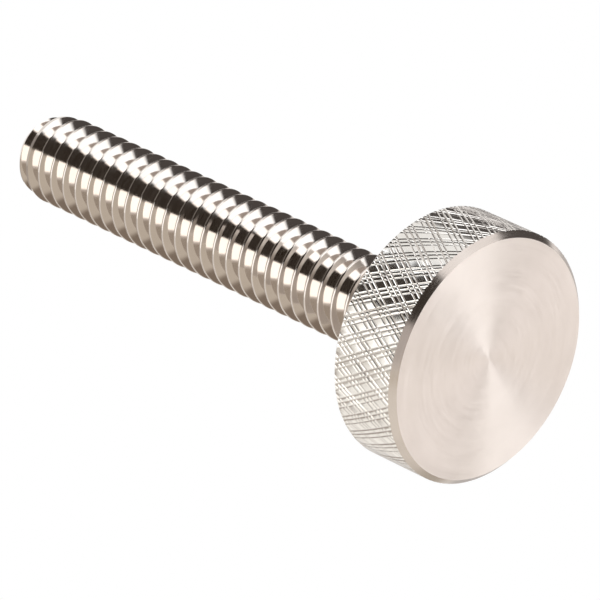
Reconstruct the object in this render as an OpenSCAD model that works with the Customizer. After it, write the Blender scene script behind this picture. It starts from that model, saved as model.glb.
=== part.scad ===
// Thumb screw, turned in one piece: a round head with a diamond knurl, and a long threaded shank.
// It stands on the flat face of its head, with the shank pointing up along +Z.

/* [Head] */
// Diameter of the head over its knurl
head_d = 17.3; // [13:0.1:24]
// Height of the head, from its flat face to the seat behind it
head_h = 5.7; // [3:0.1:8]
// Width of the 45 degree chamfer on both rims of the head
head_chamfer = 0.4; // [0.2:0.05:1]

/* [Knurl] */
// Number of grooves of each hand round the head
groove_count = 74; // [40:1:80]
// Angle between a groove and the axis of the screw
groove_angle = 30; // [20:1:35]
// Width of a groove where it opens at the rim
groove_w = 0.18; // [0.08:0.01:0.3]
// Depth of a groove
groove_depth = 0.08; // [0.03:0.01:0.15]

/* [Shank] */
// Length from the seat of the head to the end of the tip
shank_length = 38.1; // [14:0.1:60]
// Length of the plain neck between the seat and the thread
neck_length = 2.4; // [1:0.1:4]
// How far the neck lies below the root of the thread
neck_relief = 0.1; // [0.05:0.05:0.5]
// Radius of the fillet between the neck and the seat
neck_fillet = 0.4; // [0.1:0.05:0.8]

/* [Thread] */
// Outside diameter of the thread
thread_d = 6.25; // [6:0.05:8]
// Rise of the right-hand thread in one turn
thread_pitch = 1.27; // [0.8:0.01:1.3]
// Direction, seen from the tip, in which a crest crosses the plane of the seat
thread_start = 347; // [0:1:359]

/* [Tip] */
// Diameter of the flat end of the tip
tip_d = 4.4; // [2:0.1:4.6]
// Diameter at the wide end of the tip's cone
tip_cone_d = 5.6; // [4.8:0.1:5.9]
// Length of the tip's cone
tip_cone_length = 0.7; // [0.3:0.1:2]
// Length behind the cone over which the crests rise to the full diameter
lead_length = 1.4; // [0.3:0.1:3]

/* [Hidden] */

// Facets of a full circle
CIRCLE_FACETS = 96;
// Facets of the full circle that the fillet is a quarter of
FILLET_FACETS = 32;
// Steps in one turn of the thread
THREAD_STEPS = 18;
// Proportions of a 60 degree thread, in pitches
CREST_FLAT = 1 / 8;
THREAD_DEPTH = 0.6134;
// How far a blank or a profile reaches past what it meets
LAP = 0.5;

head_r = head_d / 2;
thread_r = thread_d / 2;
root_r = thread_r - THREAD_DEPTH * thread_pitch;
neck_r = root_r - neck_relief;
seat_z = head_h;
neck_end_z = seat_z + neck_length;
tip_z = seat_z + shank_length;
cone_z = tip_z - tip_cone_length;

function on_circle(radius, angle, z) = [radius * cos(angle), radius * sin(angle), z];

// ---- Knurl ----
// Rolled out flat, the grooves of the two hands are two sets of parallel lines. They cross in
// rows, and every land is a diamond between two neighbours of each set.
groove_bottom_r = head_r - groove_depth;
groove_step = 360 / groove_count;
rim_per_degree = PI * head_d / 360;
half_groove = groove_w / 2 / cos(groove_angle) / rim_per_degree;
row_rise = groove_step / 2 * rim_per_degree / tan(groove_angle);
// The outermost rows lie past the edges of the chamfers
last_row = ceil((head_h / 2 - head_chamfer + groove_depth) / row_rise) + 1;

// Crossing of a right-hand line and a left-hand line, given by their angles at half the head's height
function crossing(right, left, radius) =
    on_circle(radius, (right + left) / 2, head_h / 2 + (left - right) / groove_step * row_rise);

// Groove bottoms cross where right-hand groove i meets left-hand groove i + row
groove_crossings = [
    for (row = [-last_row:last_row])
        for (i = [0:groove_count - 1])
            crossing(i * groove_step, (i + row) * groove_step, groove_bottom_r)
];
function bottom(row, i) = (row + last_row) * groove_count + i % groove_count;

// Corners of the land between right-hand grooves i and i + 1, in the order low, right, top, left
lands = [
    for (row = [1 - last_row:last_row - 1])
        for (i = [0:groove_count - 1])
            let (
                right_0 = i * groove_step + half_groove,
                right_1 = (i + 1) * groove_step - half_groove,
                left_0 = (i + row) * groove_step + half_groove,
                left_1 = (i + row + 1) * groove_step - half_groove
            )
            each [
                crossing(right_1, left_0, head_r),
                crossing(right_1, left_1, head_r),
                crossing(right_0, left_1, head_r),
                crossing(right_0, left_0, head_r)
            ]
];
function land(row, i) = len(groove_crossings) + ((row + last_row - 1) * groove_count + i) * 4;

// One diamond: two triangles for its land and two for each of the four groove flanks round it
function diamond(row, i) =
    let (
        corner = land(row, i),
        low = bottom(row - 1, i + 1),
        right = bottom(row, i + 1),
        top = bottom(row + 1, i),
        left = bottom(row, i)
    )
    [
        [corner, corner + 2, corner + 1],
        [corner, corner + 3, corner + 2],
        [low, corner, corner + 1],
        [low, corner + 1, right],
        [right, corner + 1, corner + 2],
        [right, corner + 2, top],
        [top, corner + 2, corner + 3],
        [top, corner + 3, left],
        [left, corner + 3, corner],
        [left, corner, low]
    ];

// The blank's two ends are fans from points on the axis, well outside the head
below_head = len(groove_crossings) + len(lands);
above_head = below_head + 1;
function end_fans(i) = [
    [bottom(1 - last_row, i), bottom(-last_row, i + 1), below_head],
    [bottom(-last_row, i + 1), bottom(1 - last_row, i + 1), below_head],
    [bottom(last_row - 1, i + 1), bottom(last_row, i), above_head],
    [bottom(last_row, i), bottom(last_row - 1, i), above_head]
];

module knurled_blank() {
    polyhedron(
        points = concat(groove_crossings, lands, [[0, 0, -head_r], [0, 0, head_h + head_r]]),
        faces = concat(
            [for (row = [1 - last_row:last_row - 1]) for (i = [0:groove_count - 1]) each diamond(row, i)],
            [for (i = [0:groove_count - 1]) each end_fans(i)]
        ),
        convexity = 4
    );
}

module faced_head() {
    rim_r = head_r + LAP;
    chamfer_h = head_chamfer + LAP;
    rotate_extrude($fn = CIRCLE_FACETS)
        polygon([
            [0, 0],
            [rim_r - chamfer_h, 0],
            [rim_r, chamfer_h],
            [rim_r, head_h - chamfer_h],
            [rim_r - chamfer_h, head_h],
            [0, head_h]
        ]);
}

// The rim is knurled first, and facing and chamfering then cut the grooves off clean
module head() {
    intersection() {
        knurled_blank();
        faced_head();
    }
}

// ---- Thread ----
// The thread's section over one pitch, as [height, radius]: crest flat, flank, root flat
crest_half = CREST_FLAT / 2 * thread_pitch;
flank_rise = (thread_r - root_r) * tan(30);
thread_section = [
    [-crest_half, thread_r],
    [crest_half, thread_r],
    [crest_half + flank_rise, root_r],
    [thread_pitch - crest_half - flank_rise, root_r]
];
corners = len(thread_section);
// Whole turns by which the blank reaches past the start of the thread and past the tip
turns_below_seat = ceil((neck_r - neck_length + crest_half) / thread_pitch) + 1;
turns_to_tip = ceil((shank_length + crest_half) / thread_pitch);
blank_start_z = seat_z - turns_below_seat * thread_pitch;
last_step = (turns_below_seat + turns_to_tip) * THREAD_STEPS;

thread_points = [
    for (step = [0:last_step + THREAD_STEPS])
        for (corner = thread_section)
            on_circle(
                corner[1],
                thread_start + step * 360 / THREAD_STEPS,
                blank_start_z + step * thread_pitch / THREAD_STEPS + corner[0]
            )
];
// Past its last corner the section goes on with the first corner one turn later
function helix(step, corner) =
    corner < corners ? step * corners + corner : (step + THREAD_STEPS) * corners;
below_thread = len(thread_points);
above_thread = below_thread + 1;

module threaded_blank() {
    polyhedron(
        points = concat(thread_points, [
            [0, 0, blank_start_z + thread_pitch / 2],
            [0, 0, blank_start_z + (last_step / THREAD_STEPS + 1 / 2) * thread_pitch]
        ]),
        faces = concat(
            [
                for (step = [0:last_step - 1])
                    for (corner = [0:corners - 1])
                        each [
                            [helix(step, corner), helix(step, corner + 1), helix(step + 1, corner)],
                            [helix(step, corner + 1), helix(step + 1, corner + 1), helix(step + 1, corner)]
                        ]
            ],
            [
                for (step = [0:THREAD_STEPS - 1])
                    each [
                        [helix(step, 0), helix(step + 1, 0), below_thread],
                        [helix(last_step + step + 1, 0), helix(last_step + step, 0), above_thread]
                    ]
            ],
            [
                for (corner = [0:corners - 1])
                    each [
                        [helix(0, corner + 1), helix(0, corner), below_thread],
                        [helix(last_step, corner), helix(last_step, corner + 1), above_thread]
                    ]
            ]
        ),
        convexity = 20
    );
}

// Starts on a 45 degree cone at the neck, and ends in the lead, the tip's cone and the tip
module pointed_shank() {
    outer_r = thread_r + LAP;
    lead_slope = lead_length / (thread_r - tip_cone_d / 2);
    rotate_extrude($fn = CIRCLE_FACETS)
        polygon([
            [0, neck_end_z - neck_r],
            [outer_r, neck_end_z - neck_r + outer_r],
            [outer_r, cone_z - lead_slope * (outer_r - tip_cone_d / 2)],
            [tip_cone_d / 2, cone_z],
            [tip_d / 2, tip_z],
            [0, tip_z]
        ]);
}

module threaded_shank() {
    intersection() {
        threaded_blank();
        pointed_shank();
    }
}

module neck() {
    rotate_extrude($fn = CIRCLE_FACETS) {
        translate([0, seat_z - LAP])
            square([neck_r, neck_length + 2 * LAP]);
        translate([0, seat_z - LAP])
            square([neck_r + neck_fillet, LAP]);
        translate([neck_r, seat_z])
            difference() {
                square(neck_fillet);
                translate([neck_fillet, neck_fillet])
                    circle(neck_fillet, $fn = FILLET_FACETS);
            }
    }
}

module thumb_screw() {
    color("silver") {
        head();
        neck();
        threaded_shank();
    }
}

thumb_screw();
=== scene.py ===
"""Looks of the thumb screw: one turned piece of stainless steel, built in millimetres.

The mesh is made as it would be on a lathe. A rolled-out knurl is cut by the chamfers and
wrapped round the rim, a rolled-out thread is cut by the tip, and rings join the two.
"""
import math
import random

import bmesh
import bpy
import numpy as np
from mathutils import Matrix, Vector


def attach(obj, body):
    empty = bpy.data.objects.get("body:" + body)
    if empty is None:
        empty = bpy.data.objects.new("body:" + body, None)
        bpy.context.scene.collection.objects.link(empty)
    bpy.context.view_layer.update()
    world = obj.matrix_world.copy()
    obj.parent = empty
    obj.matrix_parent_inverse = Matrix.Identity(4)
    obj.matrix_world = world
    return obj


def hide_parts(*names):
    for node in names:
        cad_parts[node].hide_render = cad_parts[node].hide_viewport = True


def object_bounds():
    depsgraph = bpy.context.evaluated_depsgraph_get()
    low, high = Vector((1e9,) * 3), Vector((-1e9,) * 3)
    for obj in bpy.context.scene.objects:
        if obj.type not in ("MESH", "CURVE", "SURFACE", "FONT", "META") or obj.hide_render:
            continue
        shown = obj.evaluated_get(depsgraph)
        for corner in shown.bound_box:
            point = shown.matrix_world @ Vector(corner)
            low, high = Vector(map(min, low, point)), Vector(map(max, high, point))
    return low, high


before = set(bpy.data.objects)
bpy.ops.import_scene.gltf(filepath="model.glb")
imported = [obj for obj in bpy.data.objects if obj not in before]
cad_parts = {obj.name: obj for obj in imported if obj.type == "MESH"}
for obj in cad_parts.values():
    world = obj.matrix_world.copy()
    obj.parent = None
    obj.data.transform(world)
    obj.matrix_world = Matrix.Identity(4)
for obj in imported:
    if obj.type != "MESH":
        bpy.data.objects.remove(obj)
cad_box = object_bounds()

# ---- Sizes, in millimetres and degrees ----
MM = 0.001
# A point counts as on a cutting plane, or as the same as another, within these distances
CUT_REACH = 1e-5
SAME_PLACE = 1e-4
BOX_LOW, BOX_HIGH = (corner / MM for corner in cad_box)
HEAD_R = (BOX_HIGH.x - BOX_LOW.x) / 2
TIP_Z = BOX_HIGH.z
HEAD_H = 5.7
CHAMFER = 0.4

GROOVE_ANGLE = 30
KNURL_PERIODS = 37
# Each hand repeats a track of three grooves: place in the track, and share of the full depth
KNURL_TRACK = ((0.0, 0.6), (0.26, 1.0), (0.50, 0.9))
GROOVE_W = 0.15
GROOVE_DEPTH = 0.06
# Groove section: place across the groove in widths, and share of its depth
GROOVE_SECTION = ((-0.70, 0), (-0.42, 0.25), (-0.08, 1), (0.08, 1), (0.42, 0.25), (0.70, 0))
# Where the first track of each hand starts, in tracks, and the seed of its random draws
RIGHT_HAND = (0.60, 11)
LEFT_HAND = (0.28, 23)
GROOVE_WANDER = 0.012
LEAST_PRESSED, MOST_PRESSED = 0.75, 1.1
# The knurl is rolled in deepest at this angle, and shallower by this share opposite it
DEEPEST_AT = -45
DEPTH_DRIFT = 0.45
# Along a groove its depth has this mean, and a swing made of two waves: wave numbers in
# radians a millimetre, and the phase that each draws from its groove
FADE_MEAN = 0.8
FADE_SWING = 0.35
FADE_WAVES = ((0.9, 40), (0.37, 97))
# How far the rolled-out knurl reaches past the head, and the share of the full depth
# from which a face counts as part of a groove
RIM_MARGIN = 1.0
GROOVED_FROM = 0.3

THREAD_R = 3.125
PITCH = 1.27
THREAD_DEPTH = 0.6134 * PITCH
ROOT_R = THREAD_R - THREAD_DEPTH
FLANK_ANGLE = 30
# Height of a crest at +X, less whole pitches
CREST_AT_X = 0.55
CREST_HALF = 0.085
CREST_ROUND = 0.08
ROOT_ROUND = 0.12
ARC_STEP = 20
THREAD_STEPS = 72
# Turns by which the rolled-out thread reaches past each end before it is cut
SPARE_TURNS = 2

NECK_LENGTH = 2.4
NECK_RELIEF = 0.1
NECK_R = ROOT_R - NECK_RELIEF
NECK_FILLET = 0.4
FILLET_STEPS = 6
NECK_END_Z = HEAD_H + NECK_LENGTH
TIP_R = 2.2
TIP_CONE_R = 2.8
TIP_CONE_LENGTH = 0.7
TIP_CONE_Z = TIP_Z - TIP_CONE_LENGTH
LEAD_LENGTH = 1.4
RING_STEPS = 192
# How far from its height an open edge may lie
EDGE_REACH = 0.1
SHARP_ANGLE = 22

FACE, TURNED, KNURLED, GROOVED, THREADED = range(5)


# ---- Mesh helpers ----
def grid_faces(columns, rows, index):
    """Quads of a grid whose vertex numbers index() gives."""
    return [
        (index(i, j), index(i + 1, j), index(i + 1, j + 1), index(i, j + 1))
        for i in range(columns)
        for j in range(rows)
    ]


def cut(mesh, point, normal, drop=False):
    """Cuts the rolled-out mesh by a plane, and drops what lies on the normal's side if asked."""
    everything = mesh.verts[:] + mesh.edges[:] + mesh.faces[:]
    bmesh.ops.bisect_plane(
        mesh,
        geom=everything,
        dist=CUT_REACH,
        plane_co=point,
        plane_no=Vector(normal).normalized(),
        clear_outer=drop,
    )


def ring(mesh, radius, z, angles):
    """New vertices on a level circle."""
    return [
        mesh.verts.new((radius * math.cos(a), radius * math.sin(a), z)) for a in angles
    ]


def angle_of(vert):
    """Angle round the axis from +X, from 0 to a full turn."""
    return math.atan2(vert.co.y, vert.co.x) % math.tau


def open_loop(mesh, low_z, high_z):
    """Vertices of the open edge between two heights, in order of angle."""
    verts = {
        v
        for e in mesh.edges
        if e.is_boundary
        for v in e.verts
        if low_z < v.co.z < high_z
    }
    return sorted(verts, key=angle_of)


def bridge(mesh, first, second, material):
    """Joins two rings, each in order of angle, with triangles."""
    a, b = 0, 0
    faces = []
    while a < len(first) or b < len(second):
        next_a = angle_of(first[a % len(first)]) + math.tau * (a // len(first))
        next_b = angle_of(second[b % len(second)]) + math.tau * (b // len(second))
        corners = [first[(a - 1) % len(first)], second[(b - 1) % len(second)]]
        if b >= len(second) or (a < len(first) and next_a <= next_b):
            corners.append(first[a])
            a += 1
        else:
            corners.append(second[b])
            b += 1
        faces.append(mesh.faces.new(corners))
    for face in faces:
        face.material_index = material


# ---- Knurled rim ----
def groove_samples(start, seed):
    """One row for each point of each groove's section: its place round the rim in millimetres,
    its share of the full depth, and a random number.
    """
    rng = random.Random(seed)
    period = math.tau * HEAD_R / KNURL_PERIODS
    samples = []
    for k in range(KNURL_PERIODS):
        for place, depth in KNURL_TRACK:
            centre = (k + place + start) * period + rng.uniform(-1, 1) * GROOVE_WANDER
            strength = depth * rng.uniform(LEAST_PRESSED, MOST_PRESSED)
            for across, share in GROOVE_SECTION:
                samples.append((centre + across * GROOVE_W, share * strength, rng.random()))
    return np.array(samples)


def fading(line, along):
    """How strong a groove is at a place along it: it fades in and out over a few millimetres."""
    (first, first_shift), (second, second_shift) = FADE_WAVES
    swing = FADE_SWING * np.sin(along * first + line * first_shift)
    return FADE_MEAN + swing * np.sin(along * second + line * second_shift)


def rolled_out_rim():
    """The knurl before it is wrapped: x round the rim, y along the axis, z out of the surface."""
    right = groove_samples(*RIGHT_HAND)
    left = groove_samples(*LEFT_HAND)
    count = len(right)
    around = math.tau * HEAD_R
    rise = 1 / (2 * math.tan(math.radians(GROOVE_ANGLE)))
    rows_per_mm = count / around / rise
    first = math.floor(-(HEAD_H / 2 + RIM_MARGIN) * rows_per_mm)
    last = -first
    # A vertex is where sample i of the right hand crosses sample j of the left
    i = np.arange(count + 1)[:, None]
    j = i + np.arange(first, last + 1)[None, :]
    a = right[i % count, 0] + (i // count) * around
    b = left[j % count, 0] + (j // count) * around
    x = (a + b) / 2
    y = HEAD_H / 2 + (b - a) * rise
    section = len(GROOVE_SECTION)
    line_a = right[(i % count) // section * section, 2]
    line_b = left[(j % count) // section * section, 2]
    depth_a = right[i % count, 1] * fading(line_a, y)
    depth_b = left[j % count, 1] * fading(line_b, y)
    off = np.cos(x / HEAD_R - math.radians(DEEPEST_AT))
    pressure = 1 - DEPTH_DRIFT * (1 - off) / 2
    z = -GROOVE_DEPTH * pressure * np.maximum(depth_a, depth_b)
    rows = last - first
    verts = np.stack([np.broadcast_to(x, z.shape), np.broadcast_to(y, z.shape), z], -1)

    def index(column, row):
        return column * (rows + 1) + row

    faces = [
        (index(c, r), index(c + 1, r - 1), index(c + 1, r), index(c, r + 1))
        for c in range(count)
        for r in range(1, rows)
    ]
    return verts.reshape(-1, 3), faces


def knurled_rim():
    """The knurl, cut at 45 degrees by the two chamfers and wrapped round the rim."""
    verts, faces = rolled_out_rim()
    data = bpy.data.meshes.new("rim")
    data.from_pydata(verts.tolist(), [], faces)
    mesh = bmesh.new()
    mesh.from_mesh(data)
    bpy.data.meshes.remove(data)
    cut(mesh, (0, CHAMFER, 0), (0, -1, 1), drop=True)
    cut(mesh, (0, HEAD_H - CHAMFER, 0), (0, 1, 1), drop=True)
    loose = [v for v in mesh.verts if not v.link_faces]
    bmesh.ops.delete(mesh, geom=loose, context="VERTS")
    for f in mesh.faces:
        deepest = min(v.co.z for v in f.verts)
        f.material_index = GROOVED if deepest < -GROOVED_FROM * GROOVE_DEPTH else KNURLED
    for v in mesh.verts:
        angle = v.co.x / HEAD_R
        radius = HEAD_R + v.co.z
        v.co = (radius * math.cos(angle), radius * math.sin(angle), v.co.y)
    bmesh.ops.remove_doubles(mesh, verts=mesh.verts[:], dist=SAME_PLACE)
    return mesh


# ---- Thread ----
def rounded(corners, radii, step):
    """A polyline with each inner corner rounded by an arc, with points every step degrees."""
    points = [corners[0]]
    for before, corner, after, radius in zip(corners, corners[1:], corners[2:], radii):
        p, q, r = Vector(before), Vector(corner), Vector(after)
        into = (q - p).normalized()
        out = (r - q).normalized()
        turn = into.angle_signed(out)
        side = Vector((-into.y, into.x)) * (-1 if turn > 0 else 1)
        reach = radius * math.tan(abs(turn) / 2)
        centre = q - into * reach + side * radius
        count = max(2, round(math.degrees(abs(turn)) / step))
        for k in range(count + 1):
            spoke = -side * radius
            spoke.rotate(Matrix.Rotation(-turn * k / count, 2))
            points.append(tuple(centre + spoke))
    points.append(corners[-1])
    return points


def thread_section():
    """Height and radius over one pitch, from the middle of one root to the middle of the next."""
    flank = (THREAD_R - ROOT_R) * math.tan(math.radians(FLANK_ANGLE))
    corners = [
        (-PITCH / 2, ROOT_R),
        (-CREST_HALF - flank, ROOT_R),
        (-CREST_HALF, THREAD_R),
        (CREST_HALF, THREAD_R),
        (CREST_HALF + flank, ROOT_R),
        (PITCH / 2, ROOT_R),
    ]
    return rounded(corners, (ROOT_ROUND, CREST_ROUND, CREST_ROUND, ROOT_ROUND), ARC_STEP)


def threaded_shank():
    """The thread, rolled out as x = turn, y = height and z = radius, then cut to the shank's
    outline and wrapped round the axis.
    """
    section = thread_section()
    first_turn = math.floor((NECK_END_Z - CREST_AT_X) / PITCH - SPARE_TURNS)
    start_z = CREST_AT_X + PITCH * first_turn
    steps = math.ceil((TIP_Z - start_z) / PITCH + SPARE_TURNS) * THREAD_STEPS
    verts = [
        (k / THREAD_STEPS, start_z + PITCH * k / THREAD_STEPS + z, r)
        for k in range(steps + 1)
        for z, r in section
    ]
    faces = grid_faces(steps, len(section) - 1, lambda i, j: i * len(section) + j)
    data = bpy.data.meshes.new("thread")
    data.from_pydata(verts, [], faces)
    mesh = bmesh.new()
    mesh.from_mesh(data)
    bpy.data.meshes.remove(data)

    lead_slope = (THREAD_R - TIP_CONE_R) / LEAD_LENGTH
    tip_slope = (TIP_CONE_R - TIP_R) / (TIP_Z - TIP_CONE_Z)
    # Cones that bound the thread: height, radius there and slope
    outline = (
        (NECK_END_Z, NECK_R, 1),
        (TIP_CONE_Z, TIP_CONE_R, -lead_slope),
        (TIP_CONE_Z, TIP_CONE_R, -tip_slope),
    )
    cut(mesh, (0, NECK_END_Z, 0), (0, -1, 0), drop=True)
    cut(mesh, (0, TIP_Z, 0), (0, 1, 0), drop=True)
    cut(mesh, (0, TIP_CONE_Z, 0), (0, 1, 0))
    for z, radius, slope in outline:
        cut(mesh, (0, z, radius), (0, -slope, 1))
    for v in mesh.verts:
        z = v.co.y
        limit = min(radius + slope * (z - at) for at, radius, slope in outline)
        radius = min(v.co.z, limit)
        angle = math.tau * v.co.x
        v.co = (radius * math.cos(angle), radius * math.sin(angle), z)
    for f in mesh.faces:
        f.material_index = THREADED
    bmesh.ops.remove_doubles(mesh, verts=mesh.verts[:], dist=SAME_PLACE)
    return mesh


# ---- The whole screw ----
def merged(meshes):
    """One bmesh from several."""
    whole = bmesh.new()
    for part in meshes:
        data = bpy.data.meshes.new("part")
        part.to_mesh(data)
        part.free()
        whole.from_mesh(data)
        bpy.data.meshes.remove(data)
    return whole


def screw_mesh():
    """The whole screw as one closed mesh, in metres."""
    mesh = merged([knurled_rim(), threaded_shank()])
    front_edge = open_loop(mesh, -EDGE_REACH, HEAD_H / 2)
    rear_edge = open_loop(mesh, HEAD_H / 2, HEAD_H + EDGE_REACH)
    thread_end = open_loop(mesh, NECK_END_Z - EDGE_REACH, NECK_END_Z + EDGE_REACH)
    tip_edge = open_loop(mesh, TIP_Z - EDGE_REACH, TIP_Z + EDGE_REACH)

    face_edge = ring(mesh, HEAD_R - CHAMFER, 0, [angle_of(v) for v in front_edge])
    bridge(mesh, front_edge, face_edge, TURNED)
    middle = mesh.verts.new((0, 0, 0))
    for k, vert in enumerate(face_edge):
        face = mesh.faces.new((middle, face_edge[k - 1], vert))
        face.material_index = FACE

    seat_edge = ring(mesh, HEAD_R - CHAMFER, HEAD_H, [angle_of(v) for v in rear_edge])
    bridge(mesh, rear_edge, seat_edge, TURNED)
    angles = [math.tau * k / RING_STEPS for k in range(RING_STEPS)]
    inner = seat_edge
    for k in range(FILLET_STEPS + 1):
        turn = math.radians(90 / FILLET_STEPS * k)
        radius = NECK_R + NECK_FILLET * (1 - math.sin(turn))
        height = HEAD_H + NECK_FILLET * (1 - math.cos(turn))
        outer, inner = inner, ring(mesh, radius, height, angles)
        bridge(mesh, outer, inner, FACE if k == 0 else TURNED)
    bridge(mesh, inner, thread_end, TURNED)

    tip_middle = mesh.verts.new((0, 0, TIP_Z))
    for k, vert in enumerate(tip_edge):
        face = mesh.faces.new((tip_middle, tip_edge[k - 1], vert))
        face.material_index = TURNED
    bmesh.ops.recalc_face_normals(mesh, faces=mesh.faces[:])
    bmesh.ops.scale(mesh, vec=(MM, MM, MM), verts=mesh.verts[:])
    return mesh


def read_array(items, name, width=1, kind=float):
    """One attribute of all items as an array."""
    values = np.empty(len(items) * width, kind)
    items.foreach_get(name, values)
    return values.reshape(-1, width) if width > 1 else values


def set_normals_by_area(data):
    """Lets big flat faces keep their own shading, so that small rounded ones take the turn."""
    corner_vert = read_array(data.loops, "vertex_index", kind=int)
    sizes = read_array(data.polygons, "loop_total", kind=int)
    area = read_array(data.polygons, "area")
    pull = np.repeat(read_array(data.polygons, "normal", 3) * area[:, None], sizes, 0)
    normal = np.zeros((len(data.vertices), 3))
    np.add.at(normal, corner_vert, pull)
    normal /= np.linalg.norm(normal, axis=1)[:, None]
    sharp = [edge.vertices for edge in data.edges if edge.use_edge_sharp]
    # A zero vector leaves a corner to Blender, which keeps the sharp edges sharp
    normal[np.unique(sharp)] = 0
    data.normals_split_custom_set(normal[corner_vert].tolist())


def thumb_screw(materials):
    """The visible piece, with the materials in the order of FACE to THREADED."""
    mesh = screw_mesh()
    data = bpy.data.meshes.new("thumb_screw_body")
    mesh.to_mesh(data)
    mesh.free()
    for material in materials:
        data.materials.append(material)
    for polygon in data.polygons:
        polygon.use_smooth = True
    data.set_sharp_from_angle(angle=math.radians(SHARP_ANGLE))
    set_normals_by_area(data)
    screw = bpy.data.objects.new("thumb_screw_body", data)
    bpy.context.scene.collection.objects.link(screw)
    return screw


# ---- Nodes ----
class Graph:
    """Short ways to add nodes to one tree. A value is a number, a tuple or another socket."""

    def __init__(self, tree):
        self.nodes = tree.nodes
        self.links = tree.links

    def node(self, kind, inputs=(), **settings):
        node = self.nodes.new("ShaderNode" + kind)
        for name, value in settings.items():
            setattr(node, name, value)
        for key, value in dict(inputs).items():
            self.put(node.inputs[key], value)
        return node

    def put(self, socket, value):
        if isinstance(value, bpy.types.NodeSocket):
            self.links.new(value, socket)
        else:
            socket.default_value = value

    def math(self, operation, first, second=0.0):
        return self.node("Math", {0: first, 1: second}, operation=operation).outputs[0]

    def dot(self, first, second):
        node = self.node("VectorMath", {0: first, 1: second}, operation="DOT_PRODUCT")
        return node.outputs["Value"]

    def ramp(self, value, low, high, at_low, at_high, kind="LINEAR"):
        """Takes low..high to at_low..at_high, and holds the ends."""
        inputs = {
            "Value": value,
            "From Min": low,
            "From Max": high,
            "To Min": at_low,
            "To Max": at_high,
        }
        return self.node("MapRange", inputs, interpolation_type=kind).outputs["Result"]

    def mix(self, share, first, second):
        inputs = {"Factor": share, "A": first, "B": second}
        return self.node("Mix", inputs, data_type="RGBA").outputs["Result"]


# ---- Materials ----
STEEL_LIGHT = (0.82, 0.77, 0.73, 1)
STEEL_DARK = (0.77, 0.72, 0.68, 1)
FROSTED_LIGHT = (0.93, 0.92, 0.90, 1)
FROSTED_DARK = (0.86, 0.84, 0.81, 1)
ROLLED_LIGHT = (0.86, 0.83, 0.80, 1)
ROLLED_DARK = (0.74, 0.71, 0.68, 1)
BRIGHT = (STEEL_DARK, STEEL_LIGHT)
FROSTED = (FROSTED_DARK, FROSTED_LIGHT)
ROLLED = (ROLLED_DARK, ROLLED_LIGHT)
# Nearly all values of the noise lie between these
NOISE_LOW, NOISE_HIGH = 0.3, 0.7
LATHE_DETAIL = 3.0
GRAIN_DETAIL = 4.0
COLOUR_SPOTS_PER_MM = 0.35
# A quarter turn from the tangent round the axis: rougher across the marks than along them
ACROSS_MARKS = 0.25


def lathe_marks(graph, across, along):
    """Fine marks that run round the axis: how many a millimetre, and how soon each one fades."""
    place = graph.node("TexCoord").outputs["Object"]
    parts = graph.node("SeparateXYZ", {0: place})
    x, y, z = (parts.outputs[k] for k in range(3))
    flat = graph.node("CombineXYZ", {0: x, 1: y}).outputs[0]
    spoke = graph.node("VectorMath", {0: flat}, operation="NORMALIZE").outputs["Vector"]
    radius = graph.node("VectorMath", {0: flat}, operation="LENGTH").outputs["Value"]
    turn = graph.node("SeparateXYZ", {0: spoke})
    around = graph.node(
        "CombineXYZ",
        {
            0: graph.math("MULTIPLY", turn.outputs[0], along),
            1: graph.math("MULTIPLY", turn.outputs[1], along),
            2: graph.math("MULTIPLY", z, across / MM),
        },
    ).outputs[0]
    rings = graph.math("MULTIPLY", radius, across / MM)
    inputs = {"Vector": around, "W": rings, "Scale": 1.0, "Detail": LATHE_DETAIL}
    return graph.node("TexNoise", inputs, noise_dimensions="4D").outputs["Fac"]


def grain(graph, per_mm):
    """Even noise with about so many spots a millimetre."""
    place = graph.node("TexCoord").outputs["Object"]
    inputs = {"Vector": place, "Scale": per_mm / MM, "Detail": GRAIN_DETAIL}
    return graph.node("TexNoise", inputs).outputs["Fac"]


def steel(name, roughness, spread, colours, marks, bump, anisotropic=0.0):
    """Steel whose roughness and height follow the given marks, and whose colour drifts.

    The roughness goes from spread below its value to spread above it, and bump is the marks'
    height in millimetres.
    """
    material = bpy.data.materials.new(name)
    material.use_nodes = True
    graph = Graph(material.node_tree)
    shader = material.node_tree.nodes["Principled BSDF"]
    heights = marks(graph)
    shader.inputs["Metallic"].default_value = 1
    spots = grain(graph, COLOUR_SPOTS_PER_MM)
    drift = graph.ramp(spots, NOISE_LOW, NOISE_HIGH, 0.0, 1.0)
    graph.put(shader.inputs["Base Color"], graph.mix(drift, *colours))
    least, most = roughness - spread, roughness + spread
    rough = graph.ramp(heights, NOISE_LOW, NOISE_HIGH, least, most)
    graph.put(shader.inputs["Roughness"], rough)
    relief = {"Height": heights, "Strength": 1.0, "Distance": bump * MM}
    graph.put(shader.inputs["Normal"], graph.node("Bump", relief).outputs[0])
    if anisotropic:
        shader.inputs["Anisotropic"].default_value = anisotropic
        shader.inputs["Anisotropic Rotation"].default_value = ACROSS_MARKS
        around = graph.node("Tangent", direction_type="RADIAL", axis="Z").outputs[0]
        graph.put(shader.inputs["Tangent"], around)
    return material


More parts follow.
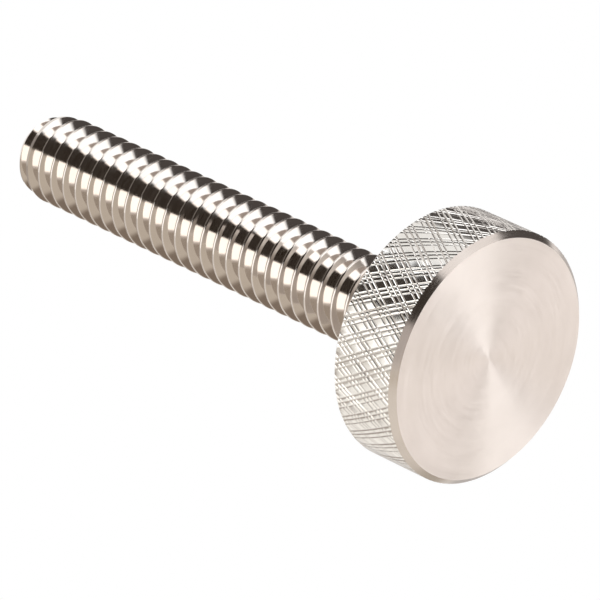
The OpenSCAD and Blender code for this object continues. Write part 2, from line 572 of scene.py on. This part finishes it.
def steel_materials():
    """The materials in the order of FACE to THREADED."""
    return [
        steel(
            "steel_face",
            roughness=0.33,
            spread=0.04,
            colours=BRIGHT,
            marks=lambda g: lathe_marks(g, across=9, along=1.6),
            bump=0.0005,
            anisotropic=0.92,
        ),
        steel(
            "steel_turned",
            roughness=0.17,
            spread=0.05,
            colours=BRIGHT,
            marks=lambda g: lathe_marks(g, across=9, along=2.5),
            bump=0.0004,
        ),
        steel(
            "steel_knurled",
            roughness=0.13,
            spread=0.05,
            colours=FROSTED,
            marks=lambda g: grain(g, per_mm=9),
            bump=0.0005,
        ),
        steel(
            "steel_grooved",
            roughness=0.22,
            spread=0.06,
            colours=ROLLED,
            marks=lambda g: grain(g, per_mm=14),
            bump=0.001,
        ),
        steel(
            "steel_threaded",
            roughness=0.09,
            spread=0.03,
            colours=BRIGHT,
            marks=lambda g: lathe_marks(g, across=6, along=3),
            bump=0.0003,
        ),
    ]


# ---- Camera ----
# It looks up at the head's face from under the floor, rolled so that the shank slopes as in
# the photo
CAMERA_PLACE = Vector((0, -283.09, -229.06))
CAMERA_AIM = Vector((-1.73, 0, 16.72))
CAMERA_ROLL = 64.716
CAMERA_LENS = 339.9
CAMERA_SENSOR = 36
# In metres
CAMERA_NEAR, CAMERA_FAR = 0.01, 10


def camera():
    data = bpy.data.cameras.new("camera")
    data.lens = CAMERA_LENS
    data.sensor_width = CAMERA_SENSOR
    data.clip_start = CAMERA_NEAR
    data.clip_end = CAMERA_FAR
    view = bpy.data.objects.new("camera", data)
    bpy.context.scene.collection.objects.link(view)
    back = (CAMERA_PLACE - CAMERA_AIM).normalized()
    level = Vector((0, 0, 1)).cross(back).normalized()
    turn = Matrix.Rotation(math.radians(CAMERA_ROLL), 3, back)
    right = turn.inverted() @ level
    up = back.cross(right)
    axes = Matrix((right, up, back)).transposed().to_4x4()
    view.matrix_world = Matrix.Translation(CAMERA_PLACE * MM) @ axes
    bpy.context.scene.camera = view


# ---- Studio ----
# What the metal reflects: a pale tent with cards in it. Each card: azimuth, elevation, half
# width, half height, tilt, soft edge, all in degrees, and colour. Azimuth 0 is the camera's
# side and 90 is +X. A later card covers an earlier one where they overlap.
TENT = (0.97, 0.92, 0.89)
PANEL = (1.25, 1.18, 1.15)
SPOT = (4.2, 4.1, 4.0)
PALE = (0.80, 0.74, 0.67)
TAUPE = (0.58, 0.51, 0.43)
WARM = (0.47, 0.42, 0.36)
SAND = (0.98, 0.94, 0.89)
DIM = (0.54, 0.51, 0.49)
GREY = (0.50, 0.45, 0.42)
DUSK = (0.30, 0.27, 0.25)
UMBER = (0.42, 0.37, 0.33)
BROWN = (0.24, 0.19, 0.15)
SLATE = (0.08, 0.07, 0.065)
BLACK = (0.04, 0.032, 0.026)
LIGHT = (1.45, 1.45, 1.45)
CREAM = (1.38, 1.36, 1.33)
STONE = (0.62, 0.57, 0.51)
CHALK = (0.92, 0.90, 0.87)
WARM_LAMP = (2.0, 1.98, 1.9)
WHITE_LAMP = (2.05, 2.08, 2.1)
CARDS = (
    (0, 90, 32, 32, 0, 10, STONE),
    (180, -40, 22, 30, 0, 10, PANEL),
    (158, -53, 8, 8, 0, 4, SPOT),
    (-100, -30, 62, 30, 0, 8, PALE),
    (-104, 43, 54, 27, 0, 8, SAND),
    (-100, 6, 50, 14, 0, 6, WARM),
    (-122, 61, 19, 19, 0, 1, UMBER),
    (-78, 61, 19, 19, 0, 1, UMBER),
    (180, 26, 26, 20, 0, 3, DIM),
    (-128, -43, 19, 17, 0, 8, BROWN),
    (-140, -28, 16, 12, 0, 6, BROWN),
    (-20, -52, 18, 12, 0, 8, GREY),
    (-24, 27, 21.5, 24, 0, 3, WARM_LAMP),
    (-24, 57, 22, 17, 0, 2, STONE),
    (57, 27, 13, 28, 14, 3, WHITE_LAMP),
    (87, 5, 12, 13, 14, 3, GREY),
    (126, 0, 22, 75, 13, 2, SLATE),
    (118, 64, 24, 17, 0, 3, CHALK),
    (100, -58, 19.5, 19, 0, 2, LIGHT),
    (76, 52, 17, 20, 0, 3, CHALK),
    (116, 38, 15.5, 9, 0, 3, SLATE),
    (22.5, -5, 24, 78, 3.5, 2, BLACK),
    (21, 61, 10.5, 16, 0, 2, DUSK),
    (28, 33, 21.5, 10, 0, 2, BLACK),
    (-24, 35, 21.5, 6, 0, 1, CREAM),
    (58, -71, 11, 12, 0, 2, BLACK),
    (-90, -70, 30, 23.5, 0, 3, TAUPE),
)


def direction(azimuth, elevation):
    """Unit vector from the screw towards a place in the tent."""
    a, e = math.radians(azimuth), math.radians(elevation)
    return Vector((math.sin(a) * math.cos(e), -math.cos(a) * math.cos(e), math.sin(e)))


# Keeps the tangent finite for rays that leave away from a card
LEAST_TOWARDS = 0.001


def card_mask(graph, ray, card):
    """1 where a ray meets a flat card that faces the screw, 0 elsewhere."""
    azimuth, elevation, width, height, tilt, soft, _ = card
    centre = direction(azimuth, elevation)
    turn = Matrix.Rotation(math.radians(tilt), 3, centre)
    across = turn @ direction(azimuth + 90, 0)
    along = turn @ centre.cross(direction(azimuth + 90, 0))
    towards = graph.math("MAXIMUM", graph.dot(ray, centre), LEAST_TOWARDS)
    edges = []
    for axis, half in ((across, width), (along, height)):
        share = graph.math("DIVIDE", graph.dot(ray, axis), towards)
        angle = graph.math("ARCTANGENT", graph.math("ABSOLUTE", share))
        inner, outer = math.radians(half - soft), math.radians(half + soft)
        edges.append(graph.ramp(angle, inner, outer, 1.0, 0.0, "SMOOTHSTEP"))
    return graph.math("MULTIPLY", *edges)


def studio_world():
    """The camera sees plain white behind the screw, and everything else sees the tent."""
    world = bpy.data.worlds.new("studio")
    bpy.context.scene.world = world
    world.use_nodes = True
    graph = Graph(world.node_tree)
    ray = graph.node("TexCoord").outputs["Generated"]
    colour = (*TENT, 1)
    for card in CARDS:
        colour = graph.mix(card_mask(graph, ray, card), colour, (*card[-1], 1))
    tent = graph.node("Background", {"Color": colour})
    plain = graph.node("Background", {"Color": (1, 1, 1, 1)})
    seen = graph.node("LightPath").outputs["Is Camera Ray"]
    pick = graph.node("MixShader", {0: seen, 1: tent.outputs[0], 2: plain.outputs[0]})
    graph.put(world.node_tree.nodes["World Output"].inputs["Surface"], pick.outputs[0])


LAMP_PLACE = Vector((-80, -180, 420))
LAMP_SIZE = 120
LAMP_WATTS = 0.7


def soft_lamp():
    """A large square lamp that gives the screw its soft shadow. The metal doesn't mirror it."""
    data = bpy.data.lights.new("soft_lamp", "AREA")
    data.shape = "SQUARE"
    data.size = LAMP_SIZE * MM
    data.energy = LAMP_WATTS
    lamp = bpy.data.objects.new("soft_lamp", data)
    aim = (Vector((0, 0, TIP_Z / 2)) - LAMP_PLACE).to_track_quat("-Z", "Y")
    lamp.rotation_euler = aim.to_euler()
    lamp.location = LAMP_PLACE * MM
    lamp.visible_glossy = False
    bpy.context.scene.collection.objects.link(lamp)


FLOOR_R = 500
FLOOR_SEGMENTS = 128
# The floor's colour fades to the background's white between these radii
FLOOR_FADE = (60, 300)
FLOOR_COLOUR = (0.86, 0.86, 0.86, 1)
FLOOR_ROUGHNESS = 0.9
FLOOR_SPECULAR = 0.1


def floor():
    """A pale disc that shows only from above, because the camera looks up from under it."""
    mesh = bmesh.new()
    bmesh.ops.create_circle(mesh, cap_ends=True, segments=FLOOR_SEGMENTS, radius=FLOOR_R * MM)
    data = bpy.data.meshes.new("floor")
    mesh.to_mesh(data)
    mesh.free()
    disc = bpy.data.objects.new("floor", data)
    bpy.context.scene.collection.objects.link(disc)

    material = bpy.data.materials.new("floor")
    material.use_nodes = True
    graph = Graph(material.node_tree)
    shader = material.node_tree.nodes["Principled BSDF"]
    shader.inputs["Base Color"].default_value = FLOOR_COLOUR
    shader.inputs["Roughness"].default_value = FLOOR_ROUGHNESS
    shader.inputs["Specular IOR Level"].default_value = FLOOR_SPECULAR
    place = graph.node("TexCoord").outputs["Object"]
    radius = graph.node("VectorMath", {0: place}, operation="LENGTH").outputs["Value"]
    near, far = (edge * MM for edge in FLOOR_FADE)
    fade = graph.ramp(radius, near, far, 0.0, 1.0, "SMOOTHSTEP")
    white = graph.node("Emission", {"Color": (1, 1, 1, 1)}).outputs[0]
    top = graph.node("MixShader", {0: fade, 1: shader.outputs[0], 2: white}).outputs[0]
    under = graph.node("NewGeometry").outputs["Backfacing"]
    clear = graph.node("BsdfTransparent").outputs[0]
    surface = graph.node("MixShader", {0: under, 1: top, 2: clear}).outputs[0]
    graph.put(material.node_tree.nodes["Material Output"].inputs["Surface"], surface)
    data.materials.append(material)
    # Only the camera sees it: the metal mirrors the tent, from below too
    disc.visible_diffuse = False
    disc.visible_glossy = False
    disc.visible_transmission = False
    disc.visible_shadow = False


camera()
screw = thumb_screw(steel_materials())
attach(screw, "root")
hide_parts("thumb_screw")
studio_world()
soft_lamp()
floor()
bpy.context.scene.view_settings.view_transform = "Standard"
